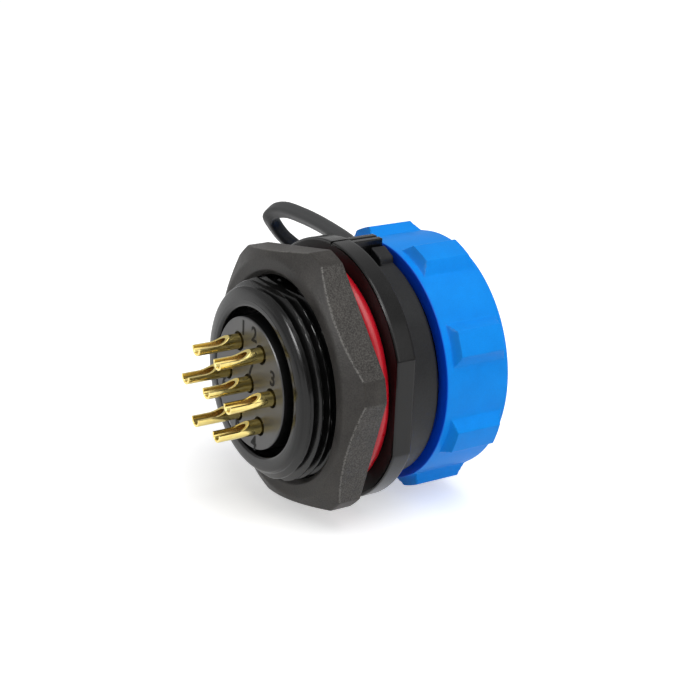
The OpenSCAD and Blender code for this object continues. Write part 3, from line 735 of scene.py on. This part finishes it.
def polar_outline(pairs):
    """[x, z] points from pairs of radius and angle in degrees."""
    r, a = np.array(pairs, float).T
    return np.stack([r * np.cos(np.radians(a)), r * np.sin(np.radians(a))], axis=1)


def open_ring():
    """The ring's rounded section carried round the axis. Its rear face steps forward where the near end is
    cut back, so each angle has its own rear station."""
    stop = NEAR_END + 360
    notch = stop - NOTCH_TURN
    turn = np.concatenate([np.arange(FAR_END, notch, 2.0), [notch, notch + 0.15],
                           np.linspace(notch + 1, stop, 6)])
    rear = np.where(turn > notch, NOTCH_REAR, RING_REAR)
    angles = radians(turn)
    corners = columns([(RING_IN_R, rear), (RING_R, rear), (RING_R, RING_FRONT), (RING_IN_R, RING_FRONT)],
                      angles)
    return around(softened(corners, [0.1, 0.3, 0.3, 0.1], 5), angles).transpose(1, 0, 2)


lanyard = Shape()
lanyard.grid(open_ring(), close=True)
stop = softened(polar_outline([(RING_IN_R + 0.1, NEAR_END), (STOP_R, NEAR_END), (STOP_LOW_R, NEAR_END - 8),
                               (FOOT_R, NEAR_END - NOTCH_TURN), (RING_IN_R + 0.1, NEAR_END - NOTCH_TURN)]),
                [0, 0.12, 0.25, 0, 0])
lanyard.grid(block(stop, NOTCH_REAR, RING_FRONT, 0.12), close=True)
gusset = softened(polar_outline([(RING_IN_R + 0.1, FAR_END), (GUSSET_R, FAR_END), (GUSSET_R, FAR_END + 5),
                                 (FOOT_R, FAR_END + 16), (RING_IN_R + 0.1, FAR_END + 16)]),
                  [0, 0.2, 0.4, 0, 0])
lanyard.grid(block(gusset, RING_MID - STRAP_HALF + 0.3, RING_MID + STRAP_HALF - 0.3, 0.1), close=True)
strap_path = spline(np.vstack([STRAP_ROOT + LOOP, STRAP_EYE + RUN]), 8)
strap_corners = STRAP_HALF * np.array([(1, -1), (1, 1), (-1, 1), (-1, -1)])
strap_section = softened(strap_corners, [STRAP_EDGE] * 4, 5)
# Painted light: the strap is paler from its root to the loop's top
strap_painted_light = np.interp(np.arange(len(strap_path)), STRAP_LIGHT_AT, STRAP_LIGHT)[:, None]
lanyard.grid(swept(strap_path, strap_section, STRAP_UP), strap_painted_light, close=True)
eye = softened([(EYE_IN_R, EYE_REAR), (EYE_R, EYE_REAR), (EYE_R, EYE_FRONT), (EYE_IN_R, EYE_FRONT)],
               [0.25] * 4, 5)
lanyard.grid(around(eye, radians(np.arange(0, 360, 4))), wrap_rows=True)
lanyard = lanyard.make("cap_lanyard", strap_black, "black_rubber", ["lanyard"])
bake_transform(lanyard)


# Pieces that keep their own solids

KEPT = {"rear_insert": insert_satin, "front_insert": insert_satin, "insert_seal": seal_red,
        "insert_retainer": spring, "cap_seal": seal_black}
for node, finish in KEPT.items():
    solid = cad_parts[node]
    solid.data.materials.clear()
    solid.data.materials.append(finish)


def painted_shade_side(mesh, radius):
    """Marks the side of a moulding for painted shade, near black where it lies in shade: the faces past a
    radius from the axis whose normals are within 30 degrees of square to it."""
    centre = np.zeros(len(mesh.polygons) * 3)
    normal = np.zeros(len(mesh.polygons) * 3)
    mesh.polygons.foreach_get("center", centre)
    mesh.polygons.foreach_get("normal", normal)
    outer = np.hypot(centre[0::3], centre[2::3]) > radius * MM
    side = outer & (np.abs(normal[1::3]) < 0.5)
    mesh.attributes.new("painted_light_and_matte", "FLOAT", "FACE").data.foreach_set("value", side.astype(np.float32))


# Painted shade on the rear insert's side wall
painted_shade_side(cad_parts["rear_insert"].data, 0.9 * reach("rear_insert")[1][0])


# Floor, light and camera


def ray_kinds(tree):
    """1 for camera, glossy and transmitted rays, each on its own wire."""
    path = tree.nodes.new("ShaderNodeLightPath")
    kinds = ("Is Camera Ray", "Is Glossy Ray", "Is Transmission Ray")
    return [Wire(tree, path.outputs[kind]) for kind in kinds]


def make_stage():
    """A wide white floor at the part's lowest point. The camera, mirrored and transmitted rays get a little
    more light from it, so it fades into the white background but keeps its shadow."""
    low = float(cad_box[0][2])
    half = 6.0
    corners = [(-half, -half, low), (half, -half, low), (half, half, low), (-half, half, low)]
    mesh = bpy.data.meshes.new("floor")
    mesh.from_pydata(corners, [], [(0, 1, 2, 3)])
    floor = link("floor", mesh)
    finish = bpy.data.materials.new("floor_white")
    tree = cleared(finish)
    seen, mirrored, through = ray_kinds(tree)
    white = add_node(tree, "ShaderNodeBsdfDiffuse", {}, {"Color": (0.92, 0.92, 0.92, 1)})
    glow = add_node(tree, "ShaderNodeEmission", {}, {"Strength": 0.5 * (seen + mirrored + through)})
    both = add_node(tree, "ShaderNodeAddShader", {}, {0: white, 1: glow})
    add_node(tree, "ShaderNodeOutputMaterial", {}, {"Surface": both})
    mesh.materials.append(finish)


# Way to the open side of the studio
ROOM_SIDE = (0.80, -0.55, 0.10)


def make_world():
    """White to the camera, softer in reflections and as a light. Reflections of the open side of the
    studio, towards +X and -Y, are dimmer."""
    world = bpy.data.worlds.new("studio")
    bpy.context.scene.world = world
    tree = cleared(world)
    seen, mirrored, through = ray_kinds(tree)
    way = add_node(tree, "ShaderNodeTexCoord", output="Generated")
    behind = add_node(tree, "ShaderNodeVectorMath", {"operation": "DOT_PRODUCT"}, {0: way, 1: ROOM_SIDE},
                      "Value")
    dim = ramp(tree, behind, 0.1, 0.9)
    strength = 0.5 + 0.5 * (seen + through) + (0.25 - 0.4 * dim) * mirrored
    back = add_node(tree, "ShaderNodeBackground", {}, {"Strength": strength})
    add_node(tree, "ShaderNodeOutputWorld", {}, {"Surface": back})


def stand(thing, axes, place):
    """Turns an object to its axes, right, up and back, and puts it in its place."""
    turn = Matrix(axes).transposed().to_4x4()
    turn.translation = place
    thing.matrix_world = turn


def add_lamp(name, place, aim, size, power, lights=True):
    """A square soft box at place, turned towards aim, in metres and watts. One that lights nothing shows in
    reflections alone."""
    data = bpy.data.lights.new(name, "AREA")
    data.shape = "SQUARE"
    data.size = size
    data.energy = power
    lamp = link(name, data)
    lamp.visible_diffuse = lights
    back = np.array(place, float) - np.array(aim, float)
    back /= np.linalg.norm(back)
    right = np.cross([0, 1, 0.001], back)
    right /= np.linalg.norm(right)
    stand(lamp, (right, np.cross(back, right), back), place)


def make_camera():
    """The camera fitted to the photo: its axes and place, with a long lens on a square frame."""
    right = np.array([0.53936, 0.84109, 0.04066])
    up = np.array([-0.31756, 0.15844, 0.93491])
    back = np.array([0.77990, -0.51717, 0.35255])
    data = bpy.data.cameras.new("camera")
    data.lens = 87.43
    data.sensor_width = 36
    data.clip_start = 0.01
    camera = link("camera", data)
    stand(camera, (right, up, back), (0.138507, -0.089011, 0.064176))
    bpy.context.scene.camera = camera


make_stage()
make_world()
add_lamp("top_box", (0.15, 0.0, 0.42), (0, 0, 0), 0.36, 1.2)
add_lamp("side_box", (0.40, 0.12, 0.22), (0, 0, 0), 0.30, 0.30)
add_lamp("rear_box", (0.0, -0.41, 0.21), (0, 0, 0), 0.20, 2.0, lights=False)
make_camera()
bpy.context.scene.view_settings.view_transform = "Standard"
